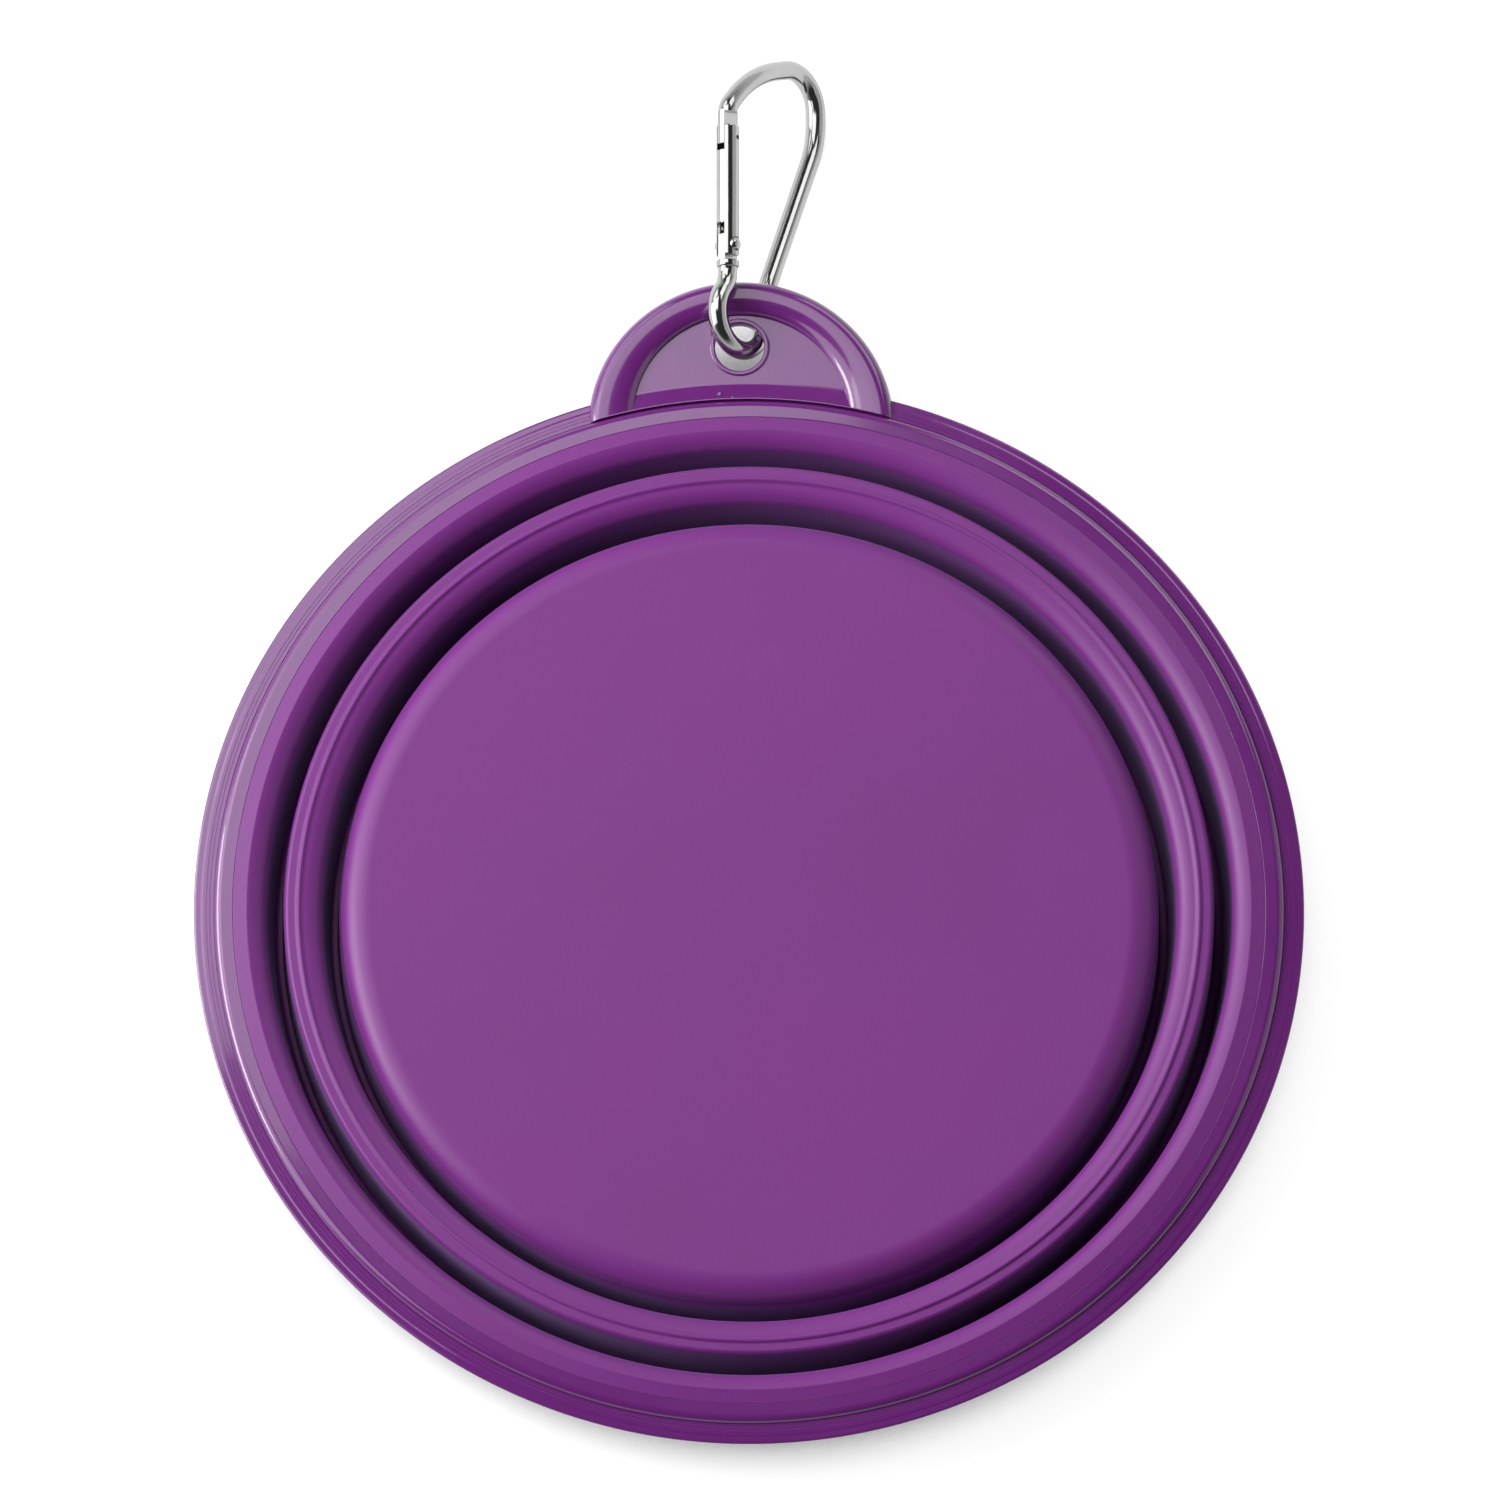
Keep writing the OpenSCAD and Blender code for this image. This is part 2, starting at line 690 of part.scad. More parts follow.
// Spring: one tube wound round the gate's line
coil_rings = 8;
wire_sides = 6;
coil_r = (spring_d - spring_wire_d) / 2;
function coil_centre(i) = [
    coil_r * cos(360 * i / coil_rings),
    spring_start + spring_wire_d / 2 + spring_pitch * i / coil_rings,
    coil_r * sin(360 * i / coil_rings)
];
function coil_point(i, j) =
    let (out = [cos(360 * i / coil_rings), 0, sin(360 * i / coil_rings)], a = 360 * j / wire_sides)
    coil_centre(i) + spring_wire_d / 2 * (cos(a) * out + sin(a) * [0, 1, 0]);
coil_last = coil_rings * spring_turns;
coil_points = [for (i = [0 : coil_last]) for (j = [0 : wire_sides - 1]) coil_point(i, j)];
coil_faces = concat(
    [[for (j = [0 : wire_sides - 1]) j]],
    [[for (j = [wire_sides - 1 : -1 : 0]) coil_last * wire_sides + j]],
    [
        for (i = [0 : coil_last - 1]) for (j = [0 : wire_sides - 1])
            let (k = (j + 1) % wire_sides, a = i * wire_sides, b = a + wire_sides)
            each [[a + k, a + j, b + j], [a + k, b + j, b + k]]
    ]
);
// Least gap between neighbouring turns, measured on the wire's own points
coil_gap = min([
    for (j = [0 : wire_sides - 1]) for (k = [0 : wire_sides - 1])
        norm(coil_point(coil_rings, j) - coil_point(0, k))
]);
echo("Least gap between the spring's turns in mm", coil_gap);

module gate_spring() {
    color(steel_colour)
    place_clip()
    polyhedron(points = coil_points, faces = coil_faces);
}

module gate_plunger() {
    color(steel_colour)
    place_clip()
    union() {
        up_gate(tang_end + side_gap / 2, plunger_head_len, plunger_head_d / 2);
        up_gate(tang_end + side_gap / 2, plunger_head_len + plunger_stem_len, plunger_stem_d / 2);
    }
}

rim_frame();
clamp_ring();
upper_wall();
upper_fold();
middle_wall();
lower_fold();
floor_pan();
carabiner_body();
hinge_rivet();
carabiner_gate();
latch_pin();
gate_spring();
gate_plunger();
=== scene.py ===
import json
import math

import bmesh
import bpy
from mathutils import Matrix, Vector

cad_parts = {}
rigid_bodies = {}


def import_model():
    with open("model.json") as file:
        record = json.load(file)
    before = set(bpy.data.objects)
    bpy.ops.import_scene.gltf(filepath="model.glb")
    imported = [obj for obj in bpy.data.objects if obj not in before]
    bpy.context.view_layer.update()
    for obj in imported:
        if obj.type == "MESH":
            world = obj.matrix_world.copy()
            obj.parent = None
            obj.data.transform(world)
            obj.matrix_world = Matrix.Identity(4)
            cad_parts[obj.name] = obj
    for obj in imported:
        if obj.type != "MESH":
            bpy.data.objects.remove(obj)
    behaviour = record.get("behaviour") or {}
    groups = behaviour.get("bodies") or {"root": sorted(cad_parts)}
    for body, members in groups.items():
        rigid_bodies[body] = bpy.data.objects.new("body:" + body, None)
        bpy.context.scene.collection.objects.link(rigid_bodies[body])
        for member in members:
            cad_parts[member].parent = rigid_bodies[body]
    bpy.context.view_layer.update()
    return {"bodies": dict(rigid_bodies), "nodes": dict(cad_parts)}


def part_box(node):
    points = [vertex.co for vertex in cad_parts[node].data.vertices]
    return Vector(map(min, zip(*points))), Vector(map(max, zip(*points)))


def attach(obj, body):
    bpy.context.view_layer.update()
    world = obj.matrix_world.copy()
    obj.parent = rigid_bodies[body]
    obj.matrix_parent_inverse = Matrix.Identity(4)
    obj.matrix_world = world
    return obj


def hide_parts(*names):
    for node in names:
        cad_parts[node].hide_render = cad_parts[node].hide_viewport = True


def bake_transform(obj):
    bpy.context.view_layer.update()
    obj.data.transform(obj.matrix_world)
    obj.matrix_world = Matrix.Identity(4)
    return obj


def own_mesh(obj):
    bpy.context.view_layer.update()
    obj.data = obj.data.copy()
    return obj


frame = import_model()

MM = 0.001


# The bowl's main sizes, in millimetres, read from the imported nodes

def high_mm(node):
    """The high corner of a node's box."""
    return [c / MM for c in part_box(node)[1]]


RIM_R = high_mm("rim_frame")[0]
CREST_Z = high_mm("upper_wall")[2]
BASE_STEP = 0.2
UPPER_BASE_R = high_mm("upper_fold")[0]
RING_R = UPPER_BASE_R - BASE_STEP
WEB_TOP_Z = high_mm("upper_fold")[2]
FLOOR_R = high_mm("floor_pan")[0]
LOWER_BASE_R = FLOOR_R + BASE_STEP
FLOOR_T = 2.2
FLOOR_Z = CREST_Z - FLOOR_T
CLAMP_R = high_mm("clamp_ring")[0]


# Camera: the photo looks down at the bowl from the near side, through a long lens

VIEW_ELEVATION = math.radians(72.7)
VIEW_AZIMUTH = math.radians(0.9)
VIEW_DISTANCE = 9.0
CLIP_END = 20
SENSOR_MM = 36
PHOTO_SIDE_PX = 1500
MM_PER_PX = 0.16221
# Where the bowl's axis meets the level of the silicone's slopes: in the picture, and above the ground
AXIS_PX = (749.02, 911.87)
AXIS_HEIGHT_MM = 13.8


def make_camera():
    right = Vector((math.cos(VIEW_AZIMUTH), -math.sin(VIEW_AZIMUTH), 0))
    ahead = Vector((math.sin(VIEW_AZIMUTH), math.cos(VIEW_AZIMUTH), 0))
    centre_px = PHOTO_SIDE_PX / 2
    along_right = (centre_px - AXIS_PX[0]) * MM_PER_PX
    along_ahead = (AXIS_PX[1] - centre_px) * MM_PER_PX / math.sin(VIEW_ELEVATION)
    target = (right * along_right + ahead * along_ahead + Vector((0, 0, AXIS_HEIGHT_MM))) * MM
    back = -ahead * math.cos(VIEW_ELEVATION) + Vector((0, 0, math.sin(VIEW_ELEVATION)))
    data = bpy.data.cameras.new("camera")
    data.sensor_width = SENSOR_MM
    frame_width = PHOTO_SIDE_PX * MM_PER_PX * MM
    data.lens = data.sensor_width * VIEW_DISTANCE / frame_width
    data.clip_end = CLIP_END
    camera = bpy.data.objects.new("camera", data)
    bpy.context.scene.collection.objects.link(camera)
    camera.location = target + back * VIEW_DISTANCE
    camera.rotation_euler = (-back).to_track_quat("-Z", "Y").to_euler()
    bpy.context.scene.camera = camera


make_camera()


# Materials

class Shader:
    """A principled material built node by node, with its patterns in the piece's own coordinates."""

    def __init__(self, name, colour, roughness, **sockets):
        self.material = bpy.data.materials.new(name)
        self.material.use_nodes = True
        self.material.diffuse_color = (*colour, 1)
        self.nodes = self.material.node_tree.nodes
        self.links = self.material.node_tree.links
        self.surface = self.nodes["Principled BSDF"]
        self.surface.inputs["Base Color"].default_value = (*colour, 1)
        self.surface.inputs["Roughness"].default_value = roughness
        for socket, value in sockets.items():
            self.surface.inputs[socket.replace("_", " ")].default_value = value
        self.place = self.nodes.new("ShaderNodeTexCoord").outputs["Object"]

    def noise(self, scale, detail=3.0, stretch=(1, 1, 1)):
        mapping = self.nodes.new("ShaderNodeMapping")
        mapping.inputs["Scale"].default_value = stretch
        self.links.new(self.place, mapping.inputs["Vector"])
        node = self.nodes.new("ShaderNodeTexNoise")
        node.inputs["Scale"].default_value = scale
        node.inputs["Detail"].default_value = detail
        self.links.new(mapping.outputs["Vector"], node.inputs["Vector"])
        return node.outputs["Fac"]

    def ramp(self, source, low, high, from_low=0.3, from_high=0.7):
        node = self.nodes.new("ShaderNodeMapRange")
        node.inputs["From Min"].default_value = from_low
        node.inputs["From Max"].default_value = from_high
        node.inputs["To Min"].default_value = low
        node.inputs["To Max"].default_value = high
        self.links.new(source, node.inputs["Value"])
        return node.outputs["Result"]

    def tint(self, source, first, second):
        node = self.nodes.new("ShaderNodeMix")
        node.data_type = "RGBA"
        node.inputs["A"].default_value = (*first, 1)
        node.inputs["B"].default_value = (*second, 1)
        self.links.new(source, node.inputs["Factor"])
        self.links.new(node.outputs["Result"], self.surface.inputs["Base Color"])

    def roughen(self, source, low, high):
        self.links.new(self.ramp(source, low, high), self.surface.inputs["Roughness"])

    def bump(self, source, depth, strength=1.0):
        node = self.nodes.new("ShaderNodeBump")
        node.inputs["Distance"].default_value = depth
        node.inputs["Strength"].default_value = strength
        self.links.new(source, node.inputs["Height"])
        self.links.new(node.outputs["Normal"], self.surface.inputs["Normal"])


def silicone_material():
    shader = Shader(
        "silicone", (0.2, 0.02, 0.24), 0.42,
        Sheen_Weight=0.2, Sheen_Roughness=0.5, Sheen_Tint=(0.6, 0.75, 1, 1),
    )
    cloud = shader.noise(18, 4)
    grain = shader.noise(2600, 2)
    shader.tint(shader.ramp(cloud, 0, 1), (0.192, 0.019, 0.231), (0.208, 0.021, 0.249))
    shader.roughen(cloud, 0.4, 0.46)
    shader.bump(grain, 0.00002, 0.4)
    return shader.material


def rim_material():
    shader = Shader("rim_plastic", (0.16, 0.017, 0.2), 0.2, Coat_Weight=1.0, Coat_Roughness=0.06)
    cloud = shader.noise(30, 3)
    wave = shader.noise(160, 2)
    shader.tint(shader.ramp(cloud, 0, 1), (0.152, 0.016, 0.19), (0.168, 0.018, 0.21))
    shader.roughen(cloud, 0.16, 0.26)
    shader.bump(wave, 0.00004, 0.25)
    return shader.material


def clip_material():
    shader = Shader("clip_metal", (0.44, 0.44, 0.435), 0.12, Metallic=1.0)
    scratch = shader.noise(900, 3, (6, 0.5, 6))
    shader.tint(shader.ramp(shader.noise(120, 3), 0, 1), (0.41, 0.415, 0.41), (0.47, 0.47, 0.46))
    shader.roughen(scratch, 0.07, 0.16)
    shader.bump(scratch, 0.00001, 0.15)
    return shader.material


def steel_material():
    shader = Shader("pin_steel", (0.4, 0.36, 0.33), 0.3, Metallic=1.0)
    shader.tint(shader.ramp(shader.noise(700, 3), 0, 1), (0.3, 0.26, 0.23), (0.45, 0.42, 0.4))
    shader.roughen(shader.noise(1500, 2), 0.22, 0.42)
    return shader.material


SILICONE = silicone_material()
RIM = rim_material()
CLIP = clip_material()
STEEL = steel_material()


def finish_node(name, material):
    node = frame["nodes"][name]
    node.data.materials.clear()
    node.data.materials.append(material)


for name in ("latch_pin", "gate_plunger"):
    finish_node(name, STEEL)


# Turned pieces: a closed outline of (radius, height) points in millimetres, turned about the bowl's axis

TURN_STEPS = 288
EDGE_MM = 0.12
ON_AXIS_MM = 1e-6


def arc(centre, half_w, half_h, start, end, steps=10):
    """Points along an ellipse from one angle to another, in degrees."""
    turn = [math.radians(start + (end - start) * i / steps) for i in range(steps + 1)]
    return [(centre[0] + half_w * math.cos(a), centre[1] + half_h * math.sin(a)) for a in turn]


def with_edge_loops(outline):
    """Adds a point near both ends of every long side, so that smooth shading stays flat between them."""
    points = []
    for (r0, z0), (r1, z1) in zip(outline, outline[1:] + outline[:1]):
        points.append((r0, z0))
        length = math.hypot(r1 - r0, z1 - z0)
        if length > 4 * EDGE_MM and (r0 > 0 or r1 > 0):
            for share in (EDGE_MM / length, 1 - EDGE_MM / length):
                points.append((r0 + (r1 - r0) * share, z0 + (z1 - z0) * share))
    return points


def turned(name, outline, steps=TURN_STEPS, centre=(0, 0)):
    x, y = centre
    verts, rings, faces = [], [], []
    for r, z in with_edge_loops(outline):
        start = len(verts)
        if r < ON_AXIS_MM:
            verts.append((x * MM, y * MM, z * MM))
            rings.append([start] * steps)
            continue
        for j in range(steps):
            a = 2 * math.pi * j / steps
            verts.append(((x + r * math.cos(a)) * MM, (y + r * math.sin(a)) * MM, z * MM))
        rings.append(list(range(start, start + steps)))
    for one, two in zip(rings, rings[1:] + rings[:1]):
        for j in range(steps):
            k = (j + 1) % steps
            corners = []
            for v in (one[j], one[k], two[k], two[j]):
                if v not in corners:
                    corners.append(v)
            if len(corners) > 2:
                faces.append(corners)
    return mesh_object(name, verts, faces)


def mesh_object(name, verts, faces):
    """A smooth object with its faces turned outwards."""
    mesh = bpy.data.meshes.new(name)
    mesh.from_pydata(verts, [], faces)
    mesh.validate()
    shape = bmesh.new()
    shape.from_mesh(mesh)
    bmesh.ops.recalc_face_normals(shape, faces=shape.faces)
    shape.to_mesh(mesh)
    shape.free()
    mesh.polygons.foreach_set("use_smooth", [True] * len(mesh.polygons))
    piece = bpy.data.objects.new(name, mesh)
    bpy.context.scene.collection.objects.link(piece)
    return piece


def tube_faces(count, sides):
    """The faces round a row of rings of points, and those that close its two ends."""
    faces = []
    for i in range(0, count - sides, sides):
        for j in range(sides):
            k = (j + 1) % sides
            faces.append([i + j, i + k, i + sides + k, i + sides + j])
    return faces, [list(range(sides)), list(range(count - sides, count))]


def lofted(name, rows, steps=TURN_STEPS):
    """A closed form from level circles: each row is (y of its centre, radius, height), from the bottom up."""
    verts = []
    for y, r, z in rows:
        for j in range(steps):
            a = 2 * math.pi * j / steps
            verts.append((r * math.cos(a) * MM, (y + r * math.sin(a)) * MM, z * MM))
    sides, ends = tube_faces(len(verts), steps)
    return mesh_object(name, verts, ends + sides)


def combined(piece, other, operation):
    """Joins, cuts or intersects the first piece with the second, which is used up."""
    change = piece.modifiers.new(operation, "BOOLEAN")
    change.operation = operation
    change.object = other
    change.solver = "EXACT"
    bpy.context.view_layer.update()
    graph = bpy.context.evaluated_depsgraph_get()
    mesh = bpy.data.meshes.new_from_object(piece.evaluated_get(graph))
    piece.modifiers.clear()
    spare = piece.data
    piece.data = mesh
    bpy.data.meshes.remove(spare)
    bpy.data.meshes.remove(other.data)
    return piece


def joined(name, pieces, sharp_angle):
    """One object from several closed forms, smooth except at edges sharper than the angle in degrees."""
    whole = bmesh.new()
    for piece in pieces:
        piece.data.transform(piece.matrix_world)
        whole.from_mesh(piece.data)
        bpy.data.meshes.remove(piece.data)
    mesh = bpy.data.meshes.new(name)
    whole.to_mesh(mesh)
    whole.free()
    mesh.polygons.foreach_set("use_smooth", [True] * len(mesh.polygons))
    mesh.set_sharp_from_angle(angle=math.radians(sharp_angle))
    result = bpy.data.objects.new(name, mesh)
    bpy.context.scene.collection.objects.link(result)
    return result


def block(name, low, high):
    (x0, y0, z0), (x1, y1, z1) = low, high
    corners = [(x * MM, y * MM, z * MM) for z in (z0, z1) for y in (y0, y1) for x in (x0, x1)]
    faces = [(0, 1, 3, 2), (4, 5, 7, 6), (0, 1, 5, 4), (2, 3, 7, 6), (0, 2, 6, 4), (1, 3, 7, 5)]
    return mesh_object(name, corners, faces)


def dress(piece, node, body, material):
    """Finishes a piece that stands for a CAD node, and lets it ride on its body if it has just one."""
    piece.data.materials.append(material)
    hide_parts(node)
    if body:
        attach(piece, body)
    return piece


# Silicone bowl

FOOT_H = 2.0
WALL = 2.0
WEB = 1.3
DOME_H = 2.56
DOME_FOOT_Z = 10.9
FOOT_ROUND = 0.5
TOE_H = 0.9
TOE_TUCK = 0.1
PAN_FOOT_H = 0.8


def wall_outside(base_r, foot_r, dome_r):
    """A wall's foot from below, and its outer face up to the dome."""
    round_r = foot_r + WALL - FOOT_ROUND
    return (
        [(base_r + BASE_STEP, 0), (round_r, 0)]
        + arc((round_r, FOOT_ROUND), FOOT_ROUND, FOOT_ROUND, -90, 0, 5)[1:]
        + [(foot_r + WALL, FOOT_H), (dome_r + WALL, DOME_FOOT_Z)]
    )


def wall_toe(base_r, foot_r, toe_w):
    """The bottom of a wall's inner face, which runs out to the web."""
    return (
        [(foot_r + 0.15, FOOT_H + 1.2)]
        + arc((foot_r - toe_w + TOE_TUCK, FOOT_H + TOE_H), toe_w, TOE_H, 0, -90, 6)
        + [(base_r, FOOT_H), (base_r, BASE_STEP)]
    )


def upper_wall():
    band_r, band_round, edge_r, frame_r = 83.68, 0.08, 85.2, 83.2
    shelf_z, edge_z, band_z = 12.4, 13.8, 15.38
    crest_r, dome_r, dome_w, foot_r = 81.3, 78.3, 4, 77.0
    # How far out and how far down the points beside the crest lie
    crest_edge = [(0.6, 0.14), (0.2, 0.02), (0.05, 0)]
    outline = (
        wall_outside(UPPER_BASE_R, foot_r, dome_r)
        + [(frame_r, shelf_z - 0.1), (frame_r, shelf_z), (edge_r, shelf_z)]
        + [(edge_r, edge_z), (band_r, edge_z)]
        + arc((band_r - band_round, band_z), band_round, band_round, 0, 66, 4)
        + [(crest_r + out, CREST_Z - down) for out, down in crest_edge]
        + arc((dome_r + dome_w, CREST_Z - DOME_H), dome_w, DOME_H + 0.07, 105, 176, 18)
        + wall_toe(UPPER_BASE_R, foot_r, 0.8)
    )
    dress(turned("upper_wall_skin", outline), "upper_wall", "frame", SILICONE)


def fold_web(name, outer_r, base_r, top_z, node, tuck_h, tuck_w):
    """A thin web; its top tapers inwards, where it is tucked into the form above it."""
    inner_r = outer_r - WEB
    rows, inner_step, gap = 24, 0.3, 0.04
    rise = [FOOT_H + (top_z - FOOT_H) * i / rows for i in range(rows + 1)]
    tuck = [tuck_w * max(0, (z - top_z + tuck_h) / tuck_h) ** 2 for z in rise]
    outline = (
        [(inner_r + inner_step, BASE_STEP), (base_r, BASE_STEP), (base_r, FOOT_H)]
        + [(outer_r - gap - t, z) for t, z in zip(tuck, rise)]
        + [(inner_r - t / 2, z) for t, z in reversed(list(zip(tuck, rise)))]
        + [(inner_r, inner_step + BASE_STEP)]
    )
    piece = dress(turned(name, outline), node, None, SILICONE)
    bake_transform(piece)


def middle_wall():
    crest_r, dome_r, foot_r = 73.0, 69.3, 68.0
    bead_w, bead_h, edge_w, edge_h = 0.4, 0.32, 0.75, 1.2
    bead_in_r = crest_r - bead_w
    flank_z, ledge_z = CREST_Z - 3.8, CREST_Z - bead_h
    outline = (
        wall_outside(LOWER_BASE_R, foot_r, dome_r)
        + [(RING_R - WEB - 0.2, flank_z - 0.2), (RING_R - 0.05, flank_z)]
        + arc((RING_R - edge_w, ledge_z - edge_h), edge_w, edge_h, -4, 86, 12)
        + [(crest_r + bead_w + 0.25, ledge_z)]
        + arc((crest_r, ledge_z), bead_w, bead_h, 10, 156, 14)
        + arc((bead_in_r, CREST_Z - DOME_H), bead_in_r - dome_r, DOME_H - bead_h + 0.02, 97, 176, 20)
        + wall_toe(LOWER_BASE_R, foot_r, 0.6)
    )
    dress(turned("middle_wall_skin", outline), "middle_wall", "middle", SILICONE)


def floor_pan():
    disc_r, round_w, edge_h = FLOOR_R - 0.45, 4.5, 3.2
    foot_out_r, foot_in_r, foot_round = 64.0, 60.0, 0.4
    foot_z, edge_z = FLOOR_Z - PAN_FOOT_H + foot_round, CREST_Z - edge_h
    outline = (
        [(0, FLOOR_Z), (foot_in_r, FLOOR_Z)]
        + arc((foot_in_r + foot_round, foot_z), foot_round, foot_round, 180, 270, 5)
        + arc((foot_out_r - foot_round, foot_z), foot_round, foot_round, -90, 0, 5)
        + [(foot_out_r, FLOOR_Z)]
        + [(disc_r - 1.6, edge_z - 0.2), (disc_r - 0.3, edge_z - 0.2)]
        + arc((disc_r - round_w, edge_z), round_w, edge_h, 0, 90, 24)
        + [(40, CREST_Z), (20, CREST_Z), (0, CREST_Z)]
    )
    dress(turned("floor_pan_skin", outline), "floor_pan", "floor", SILICONE)


upper_wall()
fold_web("upper_web", RING_R, UPPER_BASE_R, WEB_TOP_Z, "upper_fold", 3.0, 1.3)
middle_wall()
fold_web("lower_web", FLOOR_R, LOWER_BASE_R, FLOOR_Z, "lower_fold", 3.4, 1.6)
floor_pan()


# Rim: the turned frame with the carrying tab, and the clamp ring

FLANGE_Z = 14.5
SHELF_Z = 12.4
SKIRT_Z = 9.5
LIP_Z = 13.8
RABBET_R = 86.8
FLANGE_R = 88.4
SHELF_R = 83.3
TAB_Y = 82.4
TAB_R = 24.9
CREST_OUT_R = 22.9
CREST_IN_R = 22.1
TAB_Z = 15.3
TAB_LOW_Z = 11.9
PLATE_Y = 84.05
PLATE_R = 17.45
PLATE_Z = 13.7
PLATE_LOW_Z = 12.2
THROAT_R = 90.2
HOLE_Y = 96.1
HOLE_R = 4.0
BOSS_R = 4.9
HOLE_STEPS = 96
RIBS = 24
RIB_W = 1.2
RIB_INSET = 0.6
CHANNEL_WALL = 1.3
CHANNEL_TOP_Z = SHELF_Z - 1.4
FLANGE_FALL = 0.13
GROOVE_H = 0.05
# Small bumps left by the mould beside the tab: x, y, height of the middle and radius
MARKS = [(-3.3, 88.0, 14.2, 0.5), (-4.3, 86.0, 14.5, 0.42), (-1.2, 87.4, 14.3, 0.3), (6.1, 85.8, 14.5, 0.35)]
MARK_RISE = 0.22
# Heights below and above the whole rim, for what cuts through it
CUT_LOW_Z = 8
CUT_HIGH_Z = 20


def flange_point(out, depth=0):
    """A point of the flange, which falls a little outwards."""
    return RABBET_R + out, FLANGE_Z - FLANGE_FALL * out - depth


def flange_groove(out):
    """A hairline groove, from its outer edge inwards."""
    return [
        flange_point(out + 4 * GROOVE_H), flange_point(out + 3 * GROOVE_H, GROOVE_H),
        flange_point(out + GROOVE_H, GROOVE_H), flange_point(out),
    ]


def rim_ring():
    edge, lip_w, lip_h, flange_w = 0.7, 0.5, 0.28, 1.85
    outline = (
        [(SHELF_R, SKIRT_Z), (SHELF_R + CHANNEL_WALL, SKIRT_Z), (SHELF_R + CHANNEL_WALL, CHANNEL_TOP_Z)]
        + [(FLANGE_R - CHANNEL_WALL, CHANNEL_TOP_Z), (FLANGE_R - CHANNEL_WALL, SKIRT_Z)]
        + [(FLANGE_R, SKIRT_Z), (FLANGE_R, LIP_Z - edge)]
        + arc((RIM_R - edge, LIP_Z), edge, edge, -90, 0, 10)
        + arc((RIM_R - lip_w, LIP_Z), lip_w, lip_h, 8, 76, 8)
        + [(FLANGE_R + 0.4, LIP_Z + 0.36), flange_point(flange_w)]
        + flange_groove(1.05) + flange_groove(0.5)
        + [flange_point(0), (RABBET_R, SHELF_Z), (SHELF_R, SHELF_Z)]
    )
    return turned("rim_ring", outline)


def cutter(name, radius, low_z=CUT_LOW_Z, high_z=CUT_HIGH_Z, steps=TURN_STEPS, centre=(0, 0)):
    """An upright cylinder that is cut away from another form, or cuts it."""
    return turned(name, [(0, low_z), (radius, low_z), (radius, high_z), (0, high_z)], steps, centre)


def tab_blank():
    flank_h, edge = 2.0, 0.3
    flank = arc((CREST_OUT_R, TAB_Z - flank_h), TAB_R - CREST_OUT_R, flank_h, 0, 90, 14)
    rows = [(TAB_Y, TAB_R - edge, TAB_LOW_Z), (TAB_Y, TAB_R, TAB_LOW_Z + edge)]
    rows += [(TAB_Y, r, z) for r, z in flank] + [(TAB_Y, CREST_OUT_R - 0.15, TAB_Z)]
    bowl = cutter("bowl_cut", RABBET_R + 0.05)
    return combined(lofted("tab_blank", rows), bowl, "DIFFERENCE")


def tab_recess():
    """The hollow above the plate; its wall spreads from the plate's circle to the circle inside the crest."""
    rows, steps = [], 16
    for i in range(steps + 1):
        share = 1 - math.cos(math.pi / 2 * i / steps)
        lift = math.sin(math.pi / 2 * i / steps)
        rows.append((
            PLATE_Y + (TAB_Y - PLATE_Y) * share,
            PLATE_R + (CREST_IN_R - PLATE_R) * share,
            PLATE_Z + (TAB_Z - PLATE_Z) * lift,
        ))
    rows.append((TAB_Y, CREST_IN_R, TAB_Z + 2))
    # The hollow ends at the flange, which slopes down to the plate
    slope = [
        (THROAT_R, PLATE_Z + 0.05), (THROAT_R - 0.4, PLATE_Z + 0.08),
        (RABBET_R + 0.5, FLANGE_Z - 0.12), (RABBET_R + 0.2, FLANGE_Z + 0.002),
    ]
    below = [(0, PLATE_Z - 1), (THROAT_R, PLATE_Z - 1)]
    above = [(RABBET_R + 0.2, CUT_HIGH_Z), (0, CUT_HIGH_Z)]
    hold = turned("rim_hold", below + slope + above)
    return combined(lofted("tab_recess", rows), hold, "DIFFERENCE")


def hole_boss():
    rise, edge, sink, foot = 0.25, 0.3, 0.05, 0.2
    outline = (
        [(BOSS_R, PLATE_LOW_Z + foot), (BOSS_R, PLATE_Z)]
        + arc((BOSS_R - edge, PLATE_Z), edge, rise, 20, 90, 6)
        + arc((HOLE_R + edge, PLATE_Z - sink), edge, rise + sink, 90, 180, 6)
        + arc((HOLE_R + edge, PLATE_LOW_Z + edge), edge, edge, 180, 270, 6)
        + [(BOSS_R - foot, PLATE_LOW_Z)]
    )
    return turned("hole_boss", outline, HOLE_STEPS, (0, HOLE_Y))


def mould_mark(name, x, y, z, wide, high):
    share = 0.7
    mark = [(0, -high), (wide * share, -high * share), (wide, 0), (wide * share, high * share), (0, high)]
    return turned(name, [(r, z + h) for r, h in mark], 24, (x, y))


